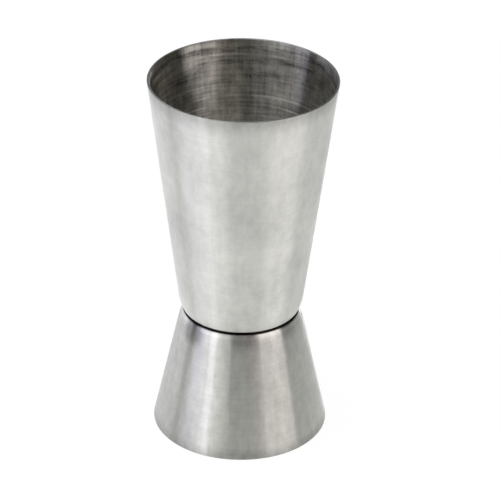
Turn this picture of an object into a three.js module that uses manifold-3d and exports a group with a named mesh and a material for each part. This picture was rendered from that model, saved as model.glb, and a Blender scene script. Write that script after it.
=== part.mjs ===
// A double-ended bar jigger: two drawn stainless steel cups, welded floor to floor.
//
// Units are millimetres and +Z is up. The origin is the centre of the small cup's rim,
// which is the end that the jigger stands on, and the large cup's mouth faces up.

import * as THREE from 'three';
import { mergeVertices } from 'three/addons/utils/BufferGeometryUtils.js';
import Module from 'manifold-3d';

// Both cups are drawn from the same sheet.
const SHEET = 0.5;
const RIM_EDGE_RADIUS = 0.12;

// Each cup is a cone with a flat floor. The mouth and floor radii are those of the
// outside wall's straight line, where it meets the rim's plane and the floor's plane.
// The floor turns up into the wall round a tight corner, and then round a wide soft
// arc, the hip, which draws the wall in over its lowest few millimetres.
const LARGE_CUP = {
  mouthRadius: 21.25,
  floorRadius: 13.88,
  height: 57.1,
  cornerRadius: 0.8,
  hipRadius: 12.0,
  hipTurn: THREE.MathUtils.degToRad(16.5),
};
const SMALL_CUP = {
  mouthRadius: 20.1,
  floorRadius: 13.65,
  height: 29.3,
  cornerRadius: 0.8,
  hipRadius: 12.0,
  hipTurn: THREE.MathUtils.degToRad(9),
};

// The weld metal holds the two floors this far apart, which leaves the dark seam.
const FLOOR_GAP = 0.3;

// Spot welds, evenly spaced round the axis.
const WELD_COUNT = 3;
const WELD_CIRCLE_RADIUS = 6.0;
const WELD_RADIUS = 2.0;
const WELD_BULGE = 0.08;

// The welding tips leave a shallow tapered dimple on the inside of each floor.
const DIMPLE_RADIUS = 2.0;
const DIMPLE_TAPER = 0.3;
const DIMPLE_DEPTH = 0.12;
const DIMPLE_OVERRUN = 0.2;

// Facets: the number round the axis is a multiple of 4, so that the widest points
// lie on the X and Y axes.
const CUP_SEGMENTS = 72;
const WELD_SEGMENTS = 24;
const CORNER_STEPS = 5;
const HIP_STEPS = 4;
const EDGE_STEPS = 3;

const smallCupTop = SMALL_CUP.height;
const largeCupBottom = smallCupTop + FLOOR_GAP;

const wasm = await Module();
wasm.setup();

// Points along an arc, both ends included, with angles from the profile's X axis.
function arcPoints(centre, radius, startAngle, endAngle, steps) {
  const points = [];
  for (let i = 0; i <= steps; i += 1) {
    const angle = startAngle + ((endAngle - startAngle) * i) / steps;
    const x = centre.x + radius * Math.cos(angle);
    const y = centre.y + radius * Math.sin(angle);
    points.push(new THREE.Vector2(x, y));
  }
  return points;
}

// The centre of a round that lies `inset` inside the outside wall's line, at height y.
function centreInsideWall(cup, lean, inset, y) {
  const x = cup.floorRadius + (y * Math.sin(lean) - inset) / Math.cos(lean);
  return new THREE.Vector2(x, y);
}

// The bend from the floor up to the wall's line, as points `inset` inside the outside
// surface, in order from the floor. Its arcs share their centres whatever the inset.
function bendPoints(cup, lean, inset) {
  const floorAngle = -Math.PI / 2;
  const wallAngle = -lean;
  const joinAngle = wallAngle - cup.hipTurn;
  const join = new THREE.Vector2(Math.cos(joinAngle), Math.sin(joinAngle));

  const cornerToHip = join.clone().multiplyScalar(cup.cornerRadius - cup.hipRadius);
  const hipY = cup.cornerRadius + cornerToHip.y;
  const hipCentre = centreInsideWall(cup, lean, cup.hipRadius, hipY);
  const cornerCentre = hipCentre.clone().sub(cornerToHip);

  const cornerInset = cup.cornerRadius - inset;
  const corner = arcPoints(cornerCentre, cornerInset, floorAngle, joinAngle, CORNER_STEPS);
  const hip = arcPoints(hipCentre, cup.hipRadius - inset, joinAngle, wallAngle, HIP_STEPS);
  return [...corner, ...hip.slice(1)];
}

// A cup's closed half section: x is the distance from the axis, y is 0 at the outside
// of the floor and the mouth is at the top.
function cupProfile(cup) {
  const lean = Math.atan2(cup.mouthRadius - cup.floorRadius, cup.height);
  const topAngle = Math.PI / 2;
  const edgeY = cup.height - RIM_EDGE_RADIUS;
  const outerEdge = centreInsideWall(cup, lean, RIM_EDGE_RADIUS, edgeY);
  const innerEdge = centreInsideWall(cup, lean, SHEET - RIM_EDGE_RADIUS, edgeY);

  return [
    new THREE.Vector2(0, 0),
    ...bendPoints(cup, lean, 0),
    ...arcPoints(outerEdge, RIM_EDGE_RADIUS, -lean, topAngle, EDGE_STEPS),
    ...arcPoints(innerEdge, RIM_EDGE_RADIUS, topAngle, Math.PI - lean, EDGE_STEPS),
    ...bendPoints(cup, lean, SHEET).reverse(),
    new THREE.Vector2(0, SHEET),
  ];
}

// Revolves a half section round Z.
function revolve(profile, segments) {
  const geometry = new THREE.LatheGeometry(profile, segments);
  geometry.rotateX(Math.PI / 2);
  return geometry;
}

// The geometry as a manifold solid, with shared vertices and no collapsed triangles.
function toSolid(geometry) {
  const bare = geometry.clone();
  bare.deleteAttribute('normal');
  bare.deleteAttribute('uv');
  const merged = mergeVertices(bare);
  const index = merged.index.array;
  const triangles = [];
  for (let i = 0; i < index.length; i += 3) {
    const [a, b, c] = index.slice(i, i + 3);
    if (a !== b && b !== c && c !== a) triangles.push(a, b, c);
  }
  const mesh = new wasm.Mesh({
    numProp: 3,
    vertProperties: new Float32Array(merged.attributes.position.array),
    triVerts: new Uint32Array(triangles),
  });
  return new wasm.Manifold(mesh);
}

function toGeometry(solid) {
  const mesh = solid.getMesh();
  const geometry = new THREE.BufferGeometry();
  geometry.setAttribute('position', new THREE.BufferAttribute(mesh.vertProperties, 3));
  geometry.setIndex(new THREE.BufferAttribute(mesh.triVerts, 1));
  geometry.computeVertexNormals();
  return geometry;
}

// The middle of each spot weld, in the plane of the floors.
function weldCentres() {
  const centres = [];
  for (let i = 0; i < WELD_COUNT; i += 1) {
    const angle = Math.PI / 2 + (2 * Math.PI * i) / WELD_COUNT;
    const x = WELD_CIRCLE_RADIUS * Math.cos(angle);
    const y = WELD_CIRCLE_RADIUS * Math.sin(angle);
    centres.push(new THREE.Vector2(x, y));
  }
  return centres;
}

// The cutter for one dimple, as tall as the dimple and its overrun above the floor.
function dimpleCutter(centre) {
  const slope = DIMPLE_TAPER / DIMPLE_DEPTH;
  const topRadius = DIMPLE_RADIUS + slope * DIMPLE_OVERRUN;
  const bottomRadius = DIMPLE_RADIUS - DIMPLE_TAPER;
  const height = DIMPLE_DEPTH + DIMPLE_OVERRUN;
  const cutter = new THREE.CylinderGeometry(topRadius, bottomRadius, height, WELD_SEGMENTS);
  cutter.rotateX(Math.PI / 2);
  cutter.translate(centre.x, centre.y, SHEET - DIMPLE_DEPTH + height / 2);
  return toSolid(cutter);
}

// A cup standing on its floor, mouth up. `flip` is -1 for a cup that will be turned
// over about X, so that its dimples still line up with the other cup's.
function cupGeometry(cup, flip) {
  let solid = toSolid(revolve(cupProfile(cup), CUP_SEGMENTS));
  for (const centre of weldCentres()) {
    solid = solid.subtract(dimpleCutter(new THREE.Vector2(centre.x, flip * centre.y)));
  }
  return toGeometry(solid);
}

// The large cup: satin outside, mouth up.
function makeLargeCup() {
  const satinSteel = new THREE.MeshStandardMaterial({
    color: 0xc9c9c5,
    roughness: 0.34,
    metalness: 1.0,
  });
  const cup = new THREE.Mesh(cupGeometry(LARGE_CUP, 1), satinSteel);
  cup.name = 'large_cup';
  cup.position.z = largeCupBottom;
  return cup;
}

// The small cup: brighter, turned over so that it stands on its mouth.
function makeSmallCup() {
  const brightSteel = new THREE.MeshStandardMaterial({
    color: 0xc4c3c0,
    roughness: 0.22,
    metalness: 1.0,
  });
  const cup = new THREE.Mesh(cupGeometry(SMALL_CUP, -1), brightSteel);
  cup.name = 'small_cup';
  cup.rotation.x = Math.PI;
  cup.position.z = smallCupTop;
  return cup;
}

// A spot weld's metal between the floors: a disc that bulges where it was squeezed out.
function makeWeldNugget(centre, number) {
  const weldSteel = new THREE.MeshStandardMaterial({
    color: 0x77716a,
    roughness: 0.6,
    metalness: 1.0,
  });
  const profile = [
    new THREE.Vector2(0, 0),
    new THREE.Vector2(WELD_RADIUS - WELD_BULGE, 0),
    new THREE.Vector2(WELD_RADIUS, FLOOR_GAP / 2),
    new THREE.Vector2(WELD_RADIUS - WELD_BULGE, FLOOR_GAP),
    new THREE.Vector2(0, FLOOR_GAP),
  ];
  const nugget = new THREE.Mesh(revolve(profile, WELD_SEGMENTS), weldSteel);
  nugget.name = `weld_nugget_${number}`;
  nugget.position.set(centre.x, centre.y, smallCupTop);
  return nugget;
}

const jigger = new THREE.Group();
jigger.add(makeLargeCup());
jigger.add(makeSmallCup());
weldCentres().forEach((centre, i) => {
  jigger.add(makeWeldNugget(centre, i + 1));
});

export default jigger;
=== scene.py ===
"""Bar jigger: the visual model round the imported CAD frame. Metres, +Z up, as in the frame."""

import math

import bpy
from mathutils import Matrix, Vector, noise


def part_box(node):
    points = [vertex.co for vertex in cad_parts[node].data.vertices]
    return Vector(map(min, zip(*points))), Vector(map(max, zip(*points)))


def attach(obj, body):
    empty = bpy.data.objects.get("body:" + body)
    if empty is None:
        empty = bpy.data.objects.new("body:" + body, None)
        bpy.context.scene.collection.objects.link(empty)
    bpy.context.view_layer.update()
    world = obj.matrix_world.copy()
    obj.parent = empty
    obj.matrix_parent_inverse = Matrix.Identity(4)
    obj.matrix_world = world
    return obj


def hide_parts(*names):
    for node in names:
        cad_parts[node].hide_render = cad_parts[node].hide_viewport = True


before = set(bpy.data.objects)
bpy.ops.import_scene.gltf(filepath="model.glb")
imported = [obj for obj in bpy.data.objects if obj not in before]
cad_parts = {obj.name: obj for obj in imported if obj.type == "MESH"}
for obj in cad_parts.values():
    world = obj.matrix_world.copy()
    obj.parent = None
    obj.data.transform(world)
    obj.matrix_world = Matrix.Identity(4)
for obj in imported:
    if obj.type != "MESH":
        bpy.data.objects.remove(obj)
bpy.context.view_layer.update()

MM = 0.001

# ---------------------------------------------------------------- node helpers


def add_node(tree, kind, inputs=None, **settings):
    """A new node with its settings and inputs. An input is a value, or a socket to link from."""
    node = tree.nodes.new(kind)
    for name, value in settings.items():
        setattr(node, name, value)
    for key, value in (inputs or {}).items():
        if isinstance(value, bpy.types.NodeSocket):
            tree.links.new(value, node.inputs[key])
        else:
            node.inputs[key].default_value = value
    return node


def new_material(name):
    """An empty material, its node tree and its output node."""
    material = bpy.data.materials.new(name)
    material.use_nodes = True
    tree = material.node_tree
    tree.nodes.clear()
    output = tree.nodes.new("ShaderNodeOutputMaterial")
    return material, tree, output


def math_node(tree, operation, *values):
    """A Math node's output."""
    return add_node(tree, "ShaderNodeMath", dict(enumerate(values)), operation=operation).outputs[0]


def vector_node(tree, operation, *values):
    """A Vector Math node's vector output."""
    return add_node(tree, "ShaderNodeVectorMath", dict(enumerate(values)), operation=operation).outputs[0]


def weighted_sum(tree, start, terms):
    """start plus each weight times its socket less 0.5, for sockets that run from 0 to 1."""
    total = start
    for weight, socket in terms:
        centred = math_node(tree, "SUBTRACT", socket, 0.5)
        total = math_node(tree, "MULTIPLY_ADD", centred, weight, total)
    return total


# ---------------------------------------------------------------- camera and stage

# A long lens that looks down at the jigger from the front.
CAMERA_POSITION = Vector((0.0, -0.5481, 0.3522))
CAMERA_PITCH = math.radians(29.37)
CAMERA_YAW = math.radians(0.2)
CAMERA_ROLL = math.radians(0.75)
CAMERA_LENS_MM = 199.8
CAMERA_CLIP = (0.01, 20.0)

FLOOR_RADIUS = 3.0
FLOOR_GLOW = 0.94
FLOOR_ALBEDO = 0.1
BACKDROP_GLOW = 0.94
BACKDROP_SIDES = 32
BACKDROP_SINK = 0.01

# How often light may bounce between shiny surfaces: the inside of a cup mirrors itself.
GLOSSY_BOUNCES = 8

# The softboxes stand on a sphere round the jigger: name, azimuths from the camera's side in degrees
# with + to the right, elevations in degrees, radiance and colour.
LIGHT_DISTANCE = 0.9
LIGHT_AIM = Vector((0.0, 0.0, 0.045))
COOL = (0.89, 0.88, 1.0)
COLD = (0.8, 0.79, 1.0)
PLAIN = (1.0, 1.0, 1.0)
WARM = (1.0, 0.91, 0.93)
ROSY = (1.0, 0.6, 0.65)
LIGHTS = [
    ("left_key", (-52, -41), (0, 7), 11.2, COOL),
    ("left_wide", (-66, -52), (0, 7), 7.1, COOL),
    ("left_side", (-78, -66), (0, 7), 6.0, COLD),
    ("left_flank", (-88, -78), (0, 7), 3.4, COLD),
    ("left_inner", (-41, -33), (0, 7), 5.4, PLAIN),
    ("left_dim", (-33, -17), (0, 7), 3.3, PLAIN),
    ("left_back", (-150, -96), (0, 12), 2.7, COLD),
    ("left_high", (-66, -14), (32, 52), 1.3, COOL),
    ("left_edge", (-81, -75), (14, 42), 2.6, COLD),
    ("left_back_high", (-180, -130), (32, 52), 0.9, PLAIN),
    ("right_rosy", (18, 34), (0, 12), 0.5, ROSY),
    ("right_main", (34, 78), (0, 32), 1.45, WARM),
    ("right_inner", (56, 79), (8, 18), 2.4, WARM),
    ("right_back", (140, 180), (0, 9), 7.6, COOL),
    ("right_high", (31, 72), (32, 52), 2.9, WARM),
    ("over_front", (-20, 24), (50, 76), 1.05, WARM),
    ("over_left", (-94, -45), (52, 76), 3.5, PLAIN),
    ("over_left_back", (-180, -115), (52, 76), 2.6, PLAIN),
    ("top", (-180, -90), (76, 104), 1.6, PLAIN),
]

# Low black flags keep the far floor out of the reflections, between these azimuths.
FLAG_DISTANCE = 0.24
FLAG_HEIGHT = 0.03
FLAG_STEPS = 24
FLAGS = [("flag_front", (-24, 33)), ("flag_right", (33, 140)), ("flag_left", (-97, -66))]


def make_camera():
    """The camera at the photo's angle."""
    data = bpy.data.cameras.new("camera")
    data.lens = CAMERA_LENS_MM
    data.clip_start, data.clip_end = CAMERA_CLIP
    camera = bpy.data.objects.new("camera", data)
    bpy.context.collection.objects.link(camera)
    turn = (
        Matrix.Rotation(-CAMERA_YAW, 4, "Z")
        @ Matrix.Rotation(math.pi / 2 - CAMERA_PITCH, 4, "X")
        @ Matrix.Rotation(CAMERA_ROLL, 4, "Z")
    )
    camera.matrix_world = Matrix.Translation(CAMERA_POSITION) @ turn
    bpy.context.scene.camera = camera


def make_light(name, azimuths, elevations, radiance, colour):
    """A softbox that faces the jigger and fills these angles. It's at least half as wide as it's tall."""
    turn = math.radians(sum(azimuths) / 2)
    tilt = math.radians(sum(elevations) / 2)
    half_width = math.radians(azimuths[1] - azimuths[0]) / 2
    half_height = math.radians(elevations[1] - elevations[0]) / 2
    data = bpy.data.lights.new(name, "AREA")
    data.shape = "RECTANGLE"
    data.size_y = 2 * LIGHT_DISTANCE * math.tan(half_height)
    data.size = max(data.size_y / 2, 2 * LIGHT_DISTANCE * math.cos(tilt) * math.tan(half_width))
    data.energy = radiance * math.pi * data.size * data.size_y
    data.color = colour
    light = bpy.data.objects.new(name, data)
    bpy.context.collection.objects.link(light)
    level = LIGHT_DISTANCE * math.cos(tilt)
    height = LIGHT_DISTANCE * math.sin(tilt)
    light.location = LIGHT_AIM + Vector((level * math.sin(turn), -level * math.cos(turn), height))
    light.rotation_euler = (math.pi / 2 - tilt, 0.0, turn)
    light.visible_camera = False


def stage_object(name, vertices, faces, material):
    """A piece of the stage, which is no part of the jigger."""
    mesh = bpy.data.meshes.new(name)
    mesh.from_pydata(vertices, [], faces)
    mesh.materials.append(material)
    piece = bpy.data.objects.new(name, mesh)
    bpy.context.collection.objects.link(piece)
    return piece


def make_floor():
    """A pale floor that glows a little, so that it stays even."""
    material, tree, output = new_material("pale_floor")
    glow = add_node(tree, "ShaderNodeEmission", {"Color": (1, 1, 1, 1), "Strength": FLOOR_GLOW})
    grey = (FLOOR_ALBEDO, FLOOR_ALBEDO, FLOOR_ALBEDO, 1)
    diffuse = add_node(tree, "ShaderNodeBsdfDiffuse", {"Color": grey})
    both = add_node(tree, "ShaderNodeAddShader", {0: glow.outputs[0], 1: diffuse.outputs[0]})
    tree.links.new(both.outputs[0], output.inputs[0])
    r = FLOOR_RADIUS
    stage_object("floor", [(-r, -r, 0), (r, -r, 0), (r, r, 0), (-r, r, 0)], [(0, 1, 2, 3)], material)


def make_backdrop():
    """A pale wall far round the stage, which only the camera sees."""
    material, tree, output = new_material("pale_backdrop")
    glow = add_node(tree, "ShaderNodeEmission", {"Color": (1, 1, 1, 1), "Strength": BACKDROP_GLOW})
    tree.links.new(glow.outputs[0], output.inputs[0])
    vertices = []
    for i in range(BACKDROP_SIDES):
        angle = 2 * math.pi * i / BACKDROP_SIDES
        x = FLOOR_RADIUS * math.cos(angle)
        y = FLOOR_RADIUS * math.sin(angle)
        vertices += [(x, y, -BACKDROP_SINK), (x, y, FLOOR_RADIUS)]
    faces = []
    for i in range(BACKDROP_SIDES):
        a = 2 * i
        b = (a + 2) % (2 * BACKDROP_SIDES)
        faces.append((b, a, a + 1, b + 1))
    wall = stage_object("backdrop", vertices, faces, material)
    wall.visible_glossy = False
    wall.visible_diffuse = False
    wall.visible_shadow = False


def make_flag(name, azimuths):
    """A low curved black panel that only reflections see."""
    material, tree, output = new_material(name + "_black")
    black = add_node(tree, "ShaderNodeBsdfDiffuse", {"Color": (0, 0, 0, 1)})
    tree.links.new(black.outputs[0], output.inputs[0])
    vertices = []
    for i in range(FLAG_STEPS + 1):
        azimuth = math.radians(azimuths[0] + (azimuths[1] - azimuths[0]) * i / FLAG_STEPS)
        x = FLAG_DISTANCE * math.sin(azimuth)
        y = -FLAG_DISTANCE * math.cos(azimuth)
        vertices += [(x, y, 0.0), (x, y, FLAG_HEIGHT)]
    faces = [(2 * i, 2 * i + 2, 2 * i + 3, 2 * i + 1) for i in range(FLAG_STEPS)]
    flag = stage_object(name, vertices, faces, material)
    flag.visible_camera = False
    flag.visible_diffuse = False
    flag.visible_shadow = False


def make_dark_room():
    """Nothing but the softboxes and the floor gives light."""
    world = bpy.data.worlds.new("room")
    bpy.context.scene.world = world
    world.use_nodes = True
    world.node_tree.nodes["Background"].inputs["Strength"].default_value = 0.0


# ---------------------------------------------------------------- the cups' shape

SHEET = 0.5 * MM
RIM_EDGE_RADIUS = 0.12 * MM

# The radius where each wall's straight line meets the floor's plane. The floor turns up round a tight
# corner, and then round a wide hip. up is the way that the cup's mouth faces.
LARGE_CUP = {
    "node": "large_cup",
    "up": 1,
    "floor_radius": 13.88 * MM,
    "corner_radius": 0.8 * MM,
    "hip_radius": 12.0 * MM,
    "hip_turn": math.radians(16.5),
}
SMALL_CUP = {
    "node": "small_cup",
    "up": -1,
    "floor_radius": 13.65 * MM,
    "corner_radius": 0.8 * MM,
    "hip_radius": 24.0 * MM,
    "hip_turn": math.radians(9.5),
}
WELD_NODES = ("weld_nugget_1", "weld_nugget_2", "weld_nugget_3")

SEGMENTS = 240
OUTER_WALL_STEP = 1.0 * MM
INNER_WALL_STEP = 0.3 * MM
FLOOR_STEP = 0.35 * MM
OUTER_FLOOR_STEP = 4 * FLOOR_STEP
CORNER_STEPS = 8
HIP_STEPS = 14
EDGE_STEPS = 6

# The rings on the inner wall lie closer together towards the mouth, by this power.
CROWDING = 1.4

# A polished wall is never quite true: it wanders inwards by up to this much.
WANDER_DEPTH = 0.03 * MM
WANDER_ROUND = 2.2
WANDER_ALONG = 45.0
WANDER_FADE = 4 * MM

# Marks that the forming tool turned into the inner wall: depth below the rim, half width, height, which
# is + where the metal stands proud, and how much brighter the tool burnished it.
TOOL_MARKS = [
    (0.9 * MM, 0.4 * MM, 0.01 * MM, 0.1),
    (2.1 * MM, 0.5 * MM, -0.018 * MM, -0.3),
    (3.4 * MM, 0.25 * MM, 0.018 * MM, 0.5),
    (4.6 * MM, 0.35 * MM, -0.012 * MM, -0.2),
    (7.9 * MM, 0.4 * MM, -0.015 * MM, -0.25),
    (13.2 * MM, 0.22 * MM, 0.015 * MM, 0.45),
    (15.5 * MM, 0.2 * MM, 0.015 * MM, 0.4),
    (16.9 * MM, 0.25 * MM, 0.01 * MM, 0.2),
    (4.0 * MM, 3.0 * MM, 0.0, -0.12),
]

# The dimples that the welding tips left in the inside of each floor, one over each weld.
DIMPLE_RADIUS = 2.0 * MM
DIMPLE_EDGE = 0.35 * MM
DIMPLE_DEPTH = 0.12 * MM
DIMPLE_ZONE = 2 * SHEET

# The three regions of a cup's surface, which are also the indices of its materials.
OUTSIDE, RIM, INSIDE = 0, 1, 2


def smoothstep(low, high, value):
    """0 below low, 1 above high and smooth between them."""
    t = min(1.0, max(0.0, (value - low) / (high - low)))
    return t * t * (3 - 2 * t)


def arc(centre, radius, start, end, steps):
    """Points along an arc, both ends included."""
    points = []
    for i in range(steps + 1):
        angle = start + (end - start) * i / steps
        points.append((centre[0] + radius * math.cos(angle), centre[1] + radius * math.sin(angle)))
    return points


def between(start, end, step, crowding=1.0):
    """Points between two ends without the ends, about a step apart, crowded towards the start."""
    count = max(2, round(math.dist(start, end) / step))
    points = []
    for i in range(1, count):
        t = (i / count) ** crowding
        points.append((start[0] + (end[0] - start[0]) * t, start[1] + (end[1] - start[1]) * t))
    return points


def half_section(cup, mouth_radius, height):
    """A cup's closed half section, as (radius, height above the floor's outside, region) points."""
    lean = math.atan2(mouth_radius - cup["floor_radius"], height)

    def inside_wall(inset, y):
        return (cup["floor_radius"] + (y * math.sin(lean) - inset) / math.cos(lean), y)

    down, top = -math.pi / 2, math.pi / 2
    join = -lean - cup["hip_turn"]
    to_hip = cup["corner_radius"] - cup["hip_radius"]
    hip = inside_wall(cup["hip_radius"], cup["corner_radius"] + to_hip * math.sin(join))
    corner = (hip[0] - to_hip * math.cos(join), cup["corner_radius"])

    def bend(inset):
        points = arc(corner, cup["corner_radius"] - inset, down, join, CORNER_STEPS)
        return points + arc(hip, cup["hip_radius"] - inset, join, -lean, HIP_STEPS)[1:]

    edge_height = height - RIM_EDGE_RADIUS
    outer_edge = arc(inside_wall(RIM_EDGE_RADIUS, edge_height), RIM_EDGE_RADIUS, -lean, top, EDGE_STEPS)
    inner_centre = inside_wall(SHEET - RIM_EDGE_RADIUS, edge_height)
    inner_edge = arc(inner_centre, RIM_EDGE_RADIUS, top, math.pi - lean, EDGE_STEPS)
    outer_bend = bend(0.0)
    inner_bend = bend(SHEET)[::-1]

    outside = between((0, 0), outer_bend[0], OUTER_FLOOR_STEP) + outer_bend
    outside += between(outer_bend[-1], outer_edge[0], OUTER_WALL_STEP)
    inside = between(inner_edge[-1], inner_bend[0], INNER_WALL_STEP, CROWDING) + inner_bend
    inside += between(inner_bend[-1], (0, SHEET), FLOOR_STEP)
    rings = [(r, y, OUTSIDE) for r, y in outside]
    rings += [(r, y, RIM) for r, y in outer_edge + inner_edge]
    rings += [(r, y, INSIDE) for r, y in inside]
    return rings


def wander(angle, y, height):
    """How far the wall has been polished inwards here, fading out at the floor and at the rim."""
    place = Vector((WANDER_ROUND * math.cos(angle), WANDER_ROUND * math.sin(angle), y * WANDER_ALONG))
    fade = smoothstep(0, WANDER_FADE, y) * smoothstep(0, WANDER_FADE, height - y)
    return WANDER_DEPTH * fade * (0.5 + 0.5 * noise.noise(place))


def tool_marks(depth):
    """How far the inner wall stands proud at this depth below the rim."""
    total = 0.0
    for place, width, proud, _ in TOOL_MARKS:
        total += proud * math.exp(-(((depth - place) / width) ** 2))
    return total


def weld_centres():
    """Each weld's centre, from the CAD node's box."""
    centres = []
    for node in WELD_NODES:
        low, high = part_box(node)
        centres.append(((low[0] + high[0]) / 2, (low[1] + high[1]) / 2))
    return centres


def dimple(x, y, centres):
    """How deep the floor is pressed in here."""
    nearest = min(math.dist((x, y), centre) for centre in centres)
    return DIMPLE_DEPTH * (1 - smoothstep(DIMPLE_RADIUS - DIMPLE_EDGE, DIMPLE_RADIUS, nearest))


def section_lengths(rings):
    """How far along the section each ring is, from 0 at the first pole to 1 at the last."""
    places = [(0.0, 0.0)] + [(r, y) for r, y, _ in rings] + [(0.0, SHEET)]
    lengths = [0.0]
    for a, b in zip(places, places[1:]):
        lengths.append(lengths[-1] + math.dist(a, b))
    return [length / lengths[-1] for length in lengths]


def revolve_cup(cup, name, materials):
    """The cup's closed mesh, from the outside of its floor over the rim to the inside of its floor."""
    low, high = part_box(cup["node"])
    height = high[2] - low[2]
    up = cup["up"]
    base = low[2] if up > 0 else high[2]
    rings = half_section(cup, high[0], height)
    welds = weld_centres()
    vertices = [(0, 0, base)]
    for radius, y, region in rings:
        marks = tool_marks(height - y) if region == INSIDE else 0.0
        for j in range(SEGMENTS):
            angle = 2 * math.pi * j / SEGMENTS
            r = radius - wander(angle, y, height) - marks
            x = r * math.cos(angle)
            across = r * math.sin(angle)
            sunk = dimple(x, across, welds) if region == INSIDE and y < DIMPLE_ZONE else 0.0
            vertices.append((x, across, base + up * (y - sunk)))
    vertices.append((0, 0, base + up * SHEET))
    last = len(vertices) - 1
    along = section_lengths(rings)
    faces, regions, layout = [], [], []

    def add_face(corners, spots, region):
        faces.append(corners[::up])
        layout.extend(spots[::up])
        regions.append(region)

    for j in range(SEGMENTS):
        k = (j + 1) % SEGMENTS
        u, w = j / SEGMENTS, (j + 1) / SEGMENTS
        middle = (u + w) / 2
        add_face((0, 1 + k, 1 + j), ((middle, 0.0), (w, along[1]), (u, along[1])), OUTSIDE)
        for i in range(len(rings) - 1):
            a = 1 + i * SEGMENTS
            b = a + SEGMENTS
            low_v, high_v = along[i + 1], along[i + 2]
            region = rings[i][2] if rings[i][2] != RIM else rings[i + 1][2]
            spots = ((u, low_v), (w, low_v), (w, high_v), (u, high_v))
            add_face((a + j, a + k, b + k, b + j), spots, region)
        a = 1 + (len(rings) - 1) * SEGMENTS
        add_face((a + j, a + k, last), ((u, along[-2]), (w, along[-2]), (middle, 1.0)), INSIDE)

    return smooth_piece(name, vertices, faces, materials, regions, layout)


def smooth_piece(name, vertices, faces, materials, regions=None, layout=None):
    """A smooth-shaded object, with a material index for each face and a layout for baking if given."""
    mesh = bpy.data.meshes.new(name)
    mesh.from_pydata(vertices, [], faces)
    for material in materials:
        mesh.materials.append(material)
    for i, polygon in enumerate(mesh.polygons):
        polygon.use_smooth = True
        polygon.material_index = regions[i] if regions else 0
    if layout:
        uv = mesh.uv_layers.new(name="OFBake")
        for loop, spot in zip(uv.data, layout):
            loop.uv = spot
    piece = bpy.data.objects.new(name, mesh)
    bpy.context.collection.objects.link(piece)
    return piece


# ---------------------------------------------------------------- the welds

BEAD_SEGMENTS = 48
BEAD_LAYERS = 6
BEAD_WAIST = 0.05

# How far the bead's edge is drawn in at random, as a part of its radius. The noise has this many features
# for each radian round the bead and from floor to floor, and for each metre that a bead lies along X.
BEAD_RAGGED = 0.09
BEAD_RAGGED_ROUND = 3
BEAD_RAGGED_THROUGH = 2
BEAD_RAGGED_APART = 1000


def weld_bead(node, name, material):
    """The metal squeezed out round a spot weld, a ragged thin disc between the two floors."""
    low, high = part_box(node)
    centre = ((low[0] + high[0]) / 2, (low[1] + high[1]) / 2)
    outer = (high[0] - low[0]) / 2
    vertices = [(centre[0], centre[1], low[2])]
    for i in range(BEAD_LAYERS + 1):
        t = i / BEAD_LAYERS
        waist = 1 - BEAD_WAIST * (2 * t - 1) ** 2
        for j in range(BEAD_SEGMENTS):
            angle = 2 * math.pi * j / BEAD_SEGMENTS
            turned = (BEAD_RAGGED_ROUND * math.cos(angle), BEAD_RAGGED_ROUND * math.sin(angle))
            place = Vector((*turned, BEAD_RAGGED_THROUGH * t + BEAD_RAGGED_APART * centre[0]))
            ragged = 1 - BEAD_RAGGED * (0.5 + 0.5 * noise.noise(place))
            r = outer * waist * ragged
            x = centre[0] + r * math.cos(angle)
            y = centre[1] + r * math.sin(angle)
            vertices.append((x, y, low[2] + t * (high[2] - low[2])))
    vertices.append((centre[0], centre[1], high[2]))
    last = len(vertices) - 1
    faces = []
    for j in range(BEAD_SEGMENTS):
        k = (j + 1) % BEAD_SEGMENTS
        faces.append((0, 1 + k, 1 + j))
        for i in range(BEAD_LAYERS):
            a = 1 + i * BEAD_SEGMENTS
            b = a + BEAD_SEGMENTS
            faces.append((a + j, a + k, b + k, b + j))
        a = 1 + BEAD_LAYERS * BEAD_SEGMENTS
        faces.append((a + j, a + k, last))
    return smooth_piece(name, vertices, faces, [material])


# ---------------------------------------------------------------- materials

MM_PER_METRE = 1000

# Noise drawn out round the axis: features per radian, features per millimetre of section, detail and seed.
GRAIN = (24.0, 2.6, 2.0, 3.0)
LINES = (1.6, 1.5, 4.0, 17.0)
HAIRS = (5.0, 4.0, 2.0, 41.0)
STREAKS = (34.0, 0.06, 2.0, 29.0)
SCRATCHES = (1.1, 2.8, 1.0, 53.0)
ARCS = (2.2, 0.5, 1.0, 67.0)
BRUSHED_ROUGHNESS = 0.6

# Noise in soft patches, a little taller than wide: features per millimetre and detail.
CLOUD = (0.14, 3.0)
MOTTLE = (0.6, 2.0)
FLECKS = (1.4, 1.0)
CLOUD_ROUGHNESS = 0.5
CLOUD_STRETCH = (1, 1, 0.6)

# The noise values between which a scratch, a fleck or an unbroken arc appears.
SCRATCH_RANGE = (0.66, 0.74)
FLECK_RANGE = (0.7, 0.78)
ARC_RANGE = (0.42, 0.6)

# How much of the bump comes from each pattern.
GRAIN_RELIEF = 0.3
LINES_RELIEF = 1.0
HAIRS_RELIEF = 0.4

# Each fade below is the distance where an effect ends and the one where it is full, in millimetres.
# The seam's crevice gets painted shade, with some grime, and beside the seam the tone is raised as a
# painted highlight.
SEAM_SHADE_AND_GRIME = (0.03, 0.028, 0.024)
SEAM_SHADE_AND_GRIME_FADE = (0.52, 0.27)
SEAM_SHADE_AND_GRIME_ROUGHNESS = 0.3
SEAM_HIGHLIGHT_FADE = (1.8, 0.9)

# A painted dark reflection beside the seam, on the small cup's left shoulder. Its fade round the cup is
# measured as a chord of the unit circle.
DARK_REFLECTION_AZIMUTH = math.radians(-50)
DARK_REFLECTION_FADE_ROUND = (0.3, 0.1)
DARK_REFLECTION_FADE = (6.5, 1.5)

# The straw tint that the welding heat left on the floors, round each weld.
HEAT_TINT = (0.5, 0.4, 0.27)
HEAT_FADE = (4.2, 1.6)
HEAT_FADE_FROM_FLOOR = (2.0, 1.0)

# Farther from any point than the nearest weld, in millimetres.
FAR = 100.0

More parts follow.
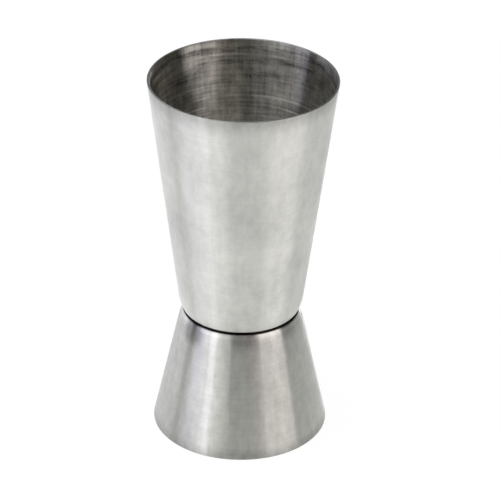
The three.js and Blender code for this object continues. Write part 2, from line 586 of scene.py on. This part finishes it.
# The reflections are drawn out across the brushing, a quarter turn from the tangent round the axis.
STRETCH_TURN = 0.25

# The weld metal's scaly skin, with features per metre.
WELD_DARK = (0.08, 0.07, 0.06, 1)
WELD_LIGHT = (0.4, 0.36, 0.31, 1)
WELD_SCALE = 2500.0
WELD_DETAIL = 4.0
WELD_ROUGHNESS = 0.6
WELD_UNEVEN = 0.4
WELD_RELIEF = 0.02 * MM


class Surface:
    """Where a point lies on a cup, in millimetres, as sockets that the patterns are made from."""

    def __init__(self, tree, up):
        self.tree = tree
        metres = add_node(tree, "ShaderNodeTexCoord").outputs["Object"]
        self.place = vector_node(tree, "MULTIPLY", metres, (MM_PER_METRE,) * 3)
        self.flat = vector_node(tree, "MULTIPLY", self.place, (1, 1, 0))
        self.outward = vector_node(tree, "NORMALIZE", self.flat)
        radius = add_node(tree, "ShaderNodeVectorMath", {0: self.flat}, operation="LENGTH")
        self.height = add_node(tree, "ShaderNodeSeparateXYZ", {0: self.place}).outputs["Z"]
        self.along = math_node(tree, "MULTIPLY_ADD", self.height, up, radius.outputs["Value"])

    def cloud(self, scale, detail):
        """Soft patches, with scale features per millimetre."""
        drawn_up = vector_node(self.tree, "MULTIPLY", self.place, CLOUD_STRETCH)
        inputs = {"Vector": drawn_up, "Scale": scale, "Detail": detail, "Roughness": CLOUD_ROUGHNESS}
        return add_node(self.tree, "ShaderNodeTexNoise", inputs).outputs["Fac"]

    def brushed(self, around, across, detail, seed):
        """Noise drawn out round the axis: around per radian, across per millimetre of section."""
        tree = self.tree
        turned = vector_node(tree, "MULTIPLY", self.outward, (around,) * 3)
        lift = math_node(tree, "MULTIPLY_ADD", self.along, across, seed)
        lifted = add_node(tree, "ShaderNodeCombineXYZ", {"Z": lift}).outputs[0]
        spot = vector_node(tree, "ADD", turned, lifted)
        inputs = {"Vector": spot, "Scale": 1.0, "Detail": detail, "Roughness": BRUSHED_ROUGHNESS}
        return add_node(tree, "ShaderNodeTexNoise", inputs).outputs["Fac"]

    def step(self, value, start, end):
        """A smooth step from 0 at start to 1 at end."""
        inputs = {"Value": value, "From Min": start, "From Max": end}
        step = add_node(self.tree, "ShaderNodeMapRange", inputs, interpolation_type="SMOOTHSTEP")
        return step.outputs[0]

    def distance(self, level):
        """How far above or below a level a point is."""
        return math_node(self.tree, "ABSOLUTE", math_node(self.tree, "SUBTRACT", self.height, level))

    def mix(self, factor, first, second):
        """A colour mixed from two, each a colour or a socket."""
        pair = [c if isinstance(c, bpy.types.NodeSocket) else (*c, 1) for c in (first, second)]
        inputs = {"Factor": factor, "A": pair[0], "B": pair[1]}
        mixed = add_node(self.tree, "ShaderNodeMix", inputs, data_type="RGBA", clamp_factor=True)
        return mixed.outputs["Result"]


def dark_reflection_amount(surface, seam):
    """How strong the painted dark reflection on the shoulder is."""
    tree = surface.tree
    middle = (math.sin(DARK_REFLECTION_AZIMUTH), -math.cos(DARK_REFLECTION_AZIMUTH), 0.0)
    inputs = {0: surface.outward, 1: middle}
    apart = add_node(tree, "ShaderNodeVectorMath", inputs, operation="DISTANCE").outputs["Value"]
    beside = surface.step(apart, *DARK_REFLECTION_FADE_ROUND)
    below = surface.step(surface.distance(seam), *DARK_REFLECTION_FADE)
    return math_node(tree, "MULTIPLY", beside, below)


def heat_amount(surface, base):
    """How strongly the floor, at the level of base, is tinted by the nearest weld's heat."""
    tree = surface.tree
    nearest = FAR
    for x, y in weld_centres():
        weld = (x * MM_PER_METRE, y * MM_PER_METRE, 0.0)
        apart = add_node(tree, "ShaderNodeVectorMath", {0: surface.flat, 1: weld}, operation="DISTANCE")
        nearest = math_node(tree, "MINIMUM", apart.outputs["Value"], nearest)
    on_floor = surface.step(surface.distance(base), *HEAT_FADE_FROM_FLOOR)
    return math_node(tree, "MULTIPLY", surface.step(nearest, *HEAT_FADE), on_floor)


def ringed(surface, tone, depth, strength):
    """The tone with the tool marks' bright and dark rings on it, broken into arcs."""
    tree = surface.tree
    arcs = surface.step(surface.brushed(*ARCS), *ARC_RANGE)
    for place, width, _, shine in TOOL_MARKS:
        off = math_node(tree, "ABSOLUTE", math_node(tree, "SUBTRACT", depth, place * MM_PER_METRE))
        ring = surface.step(off, 2 * width * MM_PER_METRE, 0.0)
        broken = math_node(tree, "MULTIPLY", ring, arcs)
        tone = math_node(tree, "MULTIPLY_ADD", broken, strength * shine, tone)
    return tone


def steel(name, finish, cup):
    """Steel brushed round the axis, darker towards the rim, with painted shade and some grime in the seam,
    a painted highlight and a painted dark reflection beside it, and heat tint where they belong.
    """
    material, tree, output = new_material(name)
    surface = Surface(tree, cup["up"])
    low, high = (corner[2] * MM_PER_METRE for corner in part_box(cup["node"]))
    rim, base = (high, low) if cup["up"] > 0 else (low, high)
    seam = sum(corner[2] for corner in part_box(WELD_NODES[0])) / 2 * MM_PER_METRE

    grain = surface.brushed(*GRAIN)
    lines = surface.brushed(*LINES)
    hairs = surface.brushed(*HAIRS)
    streaks = surface.brushed(*STREAKS)
    cloud = surface.cloud(*CLOUD)
    mottle = surface.cloud(*MOTTLE)
    scratches = surface.step(surface.brushed(*SCRATCHES), *SCRATCH_RANGE)
    flecks = surface.step(surface.cloud(*FLECKS), *FLECK_RANGE)
    depth = surface.distance(rim)
    # The tone is darker towards the rim, by the finish's weight for it.
    rim_darkening = surface.step(depth, finish["rim_darkening_width"], 0.0)
    # A painted highlight: beside the seam the tone is raised, by the finish's weight for it.
    seam_highlight = surface.step(surface.distance(seam), *SEAM_HIGHLIGHT_FADE)

    tone = weighted_sum(
        tree, finish["tone"],
        [
            (finish["grain"], grain), (finish["lines"], lines), (finish["hairs"], hairs),
            (finish["streaks"], streaks), (finish["cloud"], cloud), (finish["mottle"], mottle),
        ],
    )
    for part, mark in (("scratches", scratches), ("flecks", flecks), ("rim_darkening", rim_darkening), ("seam_highlight", seam_highlight)):
        tone = math_node(tree, "MULTIPLY_ADD", mark, finish[part], tone)
    # A painted dark reflection: the tone is lowered on the small cup's left shoulder below the seam.
    if finish["dark_reflection"]:
        tone = math_node(tree, "MULTIPLY_ADD", dark_reflection_amount(surface, seam), finish["dark_reflection"], tone)
    if finish["rings"]:
        tone = ringed(surface, tone, depth, finish["rings"])
    colour = surface.mix(tone, finish["dark"], finish["light"])
    uneven = finish["uneven"]
    roughness = weighted_sum(tree, finish["roughness"], [(uneven, lines), (uneven, cloud)])

    if finish["heat_tint"]:
        heated = math_node(tree, "MULTIPLY", heat_amount(surface, base), finish["heat_tint"])
        colour = surface.mix(heated, colour, HEAT_TINT)
    # Painted shade, with some grime: near the seam the colour goes near-black and the roughness rises,
    # darkest in the crevice.
    seam_shade_and_grime = surface.step(surface.distance(seam), *SEAM_SHADE_AND_GRIME_FADE)
    colour = surface.mix(seam_shade_and_grime, colour, SEAM_SHADE_AND_GRIME)
    roughness = math_node(tree, "MULTIPLY_ADD", seam_shade_and_grime, SEAM_SHADE_AND_GRIME_ROUGHNESS, roughness)

    relief = weighted_sum(tree, 0.5, [(GRAIN_RELIEF, grain), (LINES_RELIEF, lines), (HAIRS_RELIEF, hairs)])
    inputs = {"Strength": 1.0, "Distance": finish["relief"], "Height": relief}
    bump = add_node(tree, "ShaderNodeBump", inputs).outputs[0]
    tangent = add_node(tree, "ShaderNodeTangent", direction_type="RADIAL", axis="Z").outputs[0]
    shader = add_node(
        tree, "ShaderNodeBsdfPrincipled",
        {
            "Base Color": colour,
            "Metallic": finish["metallic"],
            "Roughness": roughness,
            "Anisotropic": finish["anisotropy"],
            "Anisotropic Rotation": STRETCH_TURN,
            "Normal": bump,
            "Tangent": tangent,
        },
    )
    tree.links.new(shader.outputs[0], output.inputs[0])
    return material


def weld_steel(name):
    """Dull weld metal with a scaly skin."""
    material, tree, output = new_material(name)
    place = add_node(tree, "ShaderNodeTexCoord").outputs["Object"]
    inputs = {"Vector": place, "Scale": WELD_SCALE, "Detail": WELD_DETAIL}
    skin = add_node(tree, "ShaderNodeTexNoise", inputs).outputs["Fac"]
    inputs = {"Factor": skin, "A": WELD_DARK, "B": WELD_LIGHT}
    colour = add_node(tree, "ShaderNodeMix", inputs, data_type="RGBA").outputs["Result"]
    roughness = weighted_sum(tree, WELD_ROUGHNESS, [(WELD_UNEVEN, skin)])
    inputs = {"Strength": 1.0, "Distance": WELD_RELIEF, "Height": skin}
    bump = add_node(tree, "ShaderNodeBump", inputs).outputs[0]
    shader = add_node(
        tree, "ShaderNodeBsdfPrincipled",
        {"Base Color": colour, "Metallic": 1.0, "Roughness": roughness, "Normal": bump},
    )
    tree.links.new(shader.outputs[0], output.inputs[0])
    return material


# What each finish is made of. dark and light are the ends of the steel's colour, tone is where between them
# it lies, and the weights from grain to dark_reflection say how much each pattern or effect moves the tone.
# rim_darkening darkens the tone towards the rim and fades out over rim_darkening_width millimetres from it.
# seam_highlight is a painted highlight beside the seam and dark_reflection a painted dark reflection on the
# small cup's left shoulder. heat_tint is how strongly the heat's colour shows, uneven is how much the
# patterns move the roughness, and relief is how high the bump stands.
SATIN = {
    "dark": (0.42, 0.426, 0.399), "light": (0.92, 0.932, 0.872), "tone": 0.46,
    "grain": 0.2, "mottle": 0.35, "lines": 0.18, "hairs": 0.08, "streaks": 0.1, "cloud": 0.7,
    "scratches": 0.03, "flecks": 0.0, "rim_darkening": -0.4, "rim_darkening_width": 4.5, "seam_highlight": 0.0, "rings": 0.0,
    "dark_reflection": 0.0, "heat_tint": 0.0, "metallic": 1.0, "roughness": 0.3, "uneven": 0.03, "anisotropy": 1.0,
    "relief": 0.002 * MM,
}
BRIGHT = {
    "dark": (0.3, 0.302, 0.28), "light": (0.74, 0.745, 0.69), "tone": 0.49,
    "grain": 0.24, "mottle": 0.45, "lines": 0.26, "hairs": 0.12, "streaks": 0.2, "cloud": 0.4,
    "scratches": 0.02, "flecks": 0.0, "rim_darkening": -0.3, "rim_darkening_width": 3.0, "seam_highlight": 0.3, "rings": 0.0,
    "dark_reflection": -0.75, "heat_tint": 0.0, "metallic": 1.0, "roughness": 0.3, "uneven": 0.03, "anisotropy": 1.0,
    "relief": 0.0002 * MM,
}
SPUN = {
    "dark": (0.145, 0.143, 0.126), "light": (0.93, 0.925, 0.835), "tone": 0.44,
    "grain": 0.4, "mottle": 0.65, "lines": 0.85, "hairs": 0.3, "streaks": 0.5, "cloud": 0.6,
    "scratches": 0.2, "flecks": -0.25, "rim_darkening": -0.1, "rim_darkening_width": 1.0, "seam_highlight": 0.0, "rings": 0.9,
    "dark_reflection": 0.0, "heat_tint": 0.6, "metallic": 0.92, "roughness": 0.32, "uneven": 0.06, "anisotropy": 1.0,
    "relief": 0.004 * MM,
}
EDGE = {
    "dark": (0.22, 0.22, 0.205), "light": (0.54, 0.54, 0.505), "tone": 0.4,
    "grain": 0.5, "mottle": 0.2, "lines": 0.3, "hairs": 0.2, "streaks": 0.6, "cloud": 0.3,
    "scratches": 0.1, "flecks": -0.1, "rim_darkening": 0.0, "rim_darkening_width": 1.0, "seam_highlight": 0.0, "rings": 0.0,
    "dark_reflection": 0.0, "heat_tint": 0.0, "metallic": 1.0, "roughness": 0.4, "uneven": 0.1, "anisotropy": 0.3,
    "relief": 0.003 * MM,
}

# ---------------------------------------------------------------- assembly

make_camera()
make_floor()
make_backdrop()
make_dark_room()
for light in LIGHTS:
    make_light(*light)
for flag in FLAGS:
    make_flag(*flag)
scene = bpy.context.scene
scene.view_settings.view_transform = "Standard"
scene.cycles.glossy_bounces = GLOSSY_BOUNCES

for cup, name, finish, slot in (
    (LARGE_CUP, "large_cup_body", SATIN, "satin_steel"),
    (SMALL_CUP, "small_cup_body", BRIGHT, "bright_steel"),
):
    materials = [
        steel(name + "_outside", finish, cup),
        steel(name + "_rim", EDGE, cup),
        steel(name + "_inside", SPUN, cup),
    ]
    body = revolve_cup(cup, name, materials)
    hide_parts(cup["node"])
    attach(body, "root")

weld_metal = weld_steel("weld_metal")
for number, node in enumerate(WELD_NODES, start=1):
    bead = weld_bead(node, f"weld_bead_{number}", weld_metal)
    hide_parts(node)
    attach(bead, "root")
